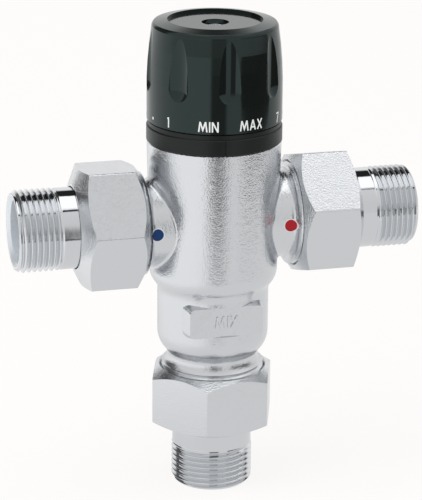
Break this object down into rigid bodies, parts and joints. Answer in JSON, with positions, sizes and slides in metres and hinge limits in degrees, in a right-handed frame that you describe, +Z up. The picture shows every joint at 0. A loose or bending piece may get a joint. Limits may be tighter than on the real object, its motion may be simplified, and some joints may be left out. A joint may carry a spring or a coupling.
{
  "type": "adjustable thermostatic mixing valve",
  "caption": "Chrome-plated brass three-way mixing valve with union tails and a black numbered knob, for blending hot and cold water to a set temperature.",
  "frame": {"origin": "centre of the outlet tail's end face, where the valve stands", "axes": "+Z up along the valve axis from the outlet to the knob, +X towards the hot inlet, -Y towards the front with the outlet pad and the index mark"},
  "size_m": [0.131, 0.0434, 0.1554],
  "materials": {
    "forged_chrome": "chrome plate over a shot-blasted brass forging, fine speckle",
    "nut_chrome": "chrome plate over a blasted forging, satin",
    "bright_chrome": "bright chrome plate over turned brass",
    "gasket_fibre": "pressed fibre, matte",
    "brass": "turned brass",
    "seal_rubber": "moulded rubber",
    "collar_plastic": "black, glossy moulding",
    "knob_plastic": "black, glossy moulding with white print",
    "screw_steel": "plated steel, domed head",
    "clip_steel": "spring steel",
    "washer_plastic": "white slippery plastic",
    "spring_steel": "stainless spring wire",
    "rod_steel": "ground stainless rod",
    "wax_copper": "drawn copper alloy cup",
    "shutter_plastic": "glass-filled engineering plastic",
    "check_plastic": "white acetal moulding",
    "strainer_steel": "stainless sheet",
    "cold_blue": "blue enamel disc",
    "hot_red": "red enamel disc"
  },
  "bodies": {
    "valve": {"cold_check_housing": "check_plastic", "cold_check_o_ring": "seal_rubber", "cold_check_retainer": "check_plastic", "cold_check_spring": "spring_steel", "cold_gasket": "gasket_fibre", "cold_marker": "cold_blue", "cold_strainer": "strainer_steel", "cold_tail": "bright_chrome", "cold_union_nut": "nut_chrome", "headwork": "brass", "headwork_o_ring": "seal_rubber", "hot_check_housing": "check_plastic", "hot_check_o_ring": "seal_rubber", "hot_check_retainer": "check_plastic", "hot_check_spring": "spring_steel", "hot_gasket": "gasket_fibre", "hot_marker": "hot_red", "hot_strainer": "strainer_steel", "hot_tail": "bright_chrome", "hot_union_nut": "nut_chrome", "outlet_gasket": "gasket_fibre", "outlet_tail": "bright_chrome", "outlet_union_nut": "nut_chrome", "return_spring": "spring_steel", "scale_collar": "collar_plastic", "valve_body": "forged_chrome"},
    "knob": {"knob": "knob_plastic", "knob_screw": "screw_steel", "spindle": "brass", "spindle_o_ring_lower": "seal_rubber", "spindle_o_ring_upper": "seal_rubber", "spindle_clip": "clip_steel", "thrust_washer": "washer_plastic"},
    "carriage": {"carriage": "brass", "plunger_clip": "clip_steel", "overload_spring": "spring_steel"},
    "plunger": {"plunger": "brass", "push_rod": "rod_steel"},
    "thermostat": {"wax_element": "wax_copper", "shutter": "shutter_plastic", "shutter_o_ring": "seal_rubber"},
    "cold_poppet": {"cold_check_poppet": "check_plastic", "cold_check_seal": "seal_rubber"},
    "hot_poppet": {"hot_check_poppet": "check_plastic", "hot_check_seal": "seal_rubber"}
  },
  "joints": [
    {"name": "knob_turn", "type": "hinge", "parent": "valve", "child": "knob", "pos_m": [0, 0, 0.1234], "axis": [0, 0, 1], "range_deg": [0, 337]},
    {"name": "carriage_slide", "type": "slide", "parent": "valve", "child": "carriage", "axis": [0, 0, 1], "range_m": [0, 0.00281]},
    {"name": "overload_yield", "type": "slide", "parent": "carriage", "child": "plunger", "axis": [0, 0, 1], "range_m": [0, 0.0018], "stiffness_N_per_m": 12000, "springref_m": -0.005, "deforming": ["overload_spring"]},
    {"name": "wax_stroke", "type": "slide", "parent": "carriage", "child": "thermostat", "axis": [0, 0, -1], "range_m": [0, 0.0015], "stiffness_N_per_m": 3000, "springref_m": -0.01, "deforming": ["return_spring"]},
    {"name": "cold_check_open", "type": "slide", "parent": "valve", "child": "cold_poppet", "axis": [1, 0, 0], "range_m": [0, 0.0025], "stiffness_N_per_m": 200, "springref_m": -0.003, "deforming": ["cold_check_spring"]},
    {"name": "hot_check_open", "type": "slide", "parent": "valve", "child": "hot_poppet", "axis": [-1, 0, 0], "range_m": [0, 0.0025], "stiffness_N_per_m": 200, "springref_m": -0.003, "deforming": ["hot_check_spring"]}
  ],
  "couplings": [
    {"joint": "knob_turn", "follows": "carriage_slide", "rad_per_m": 2094.4}
  ]
}
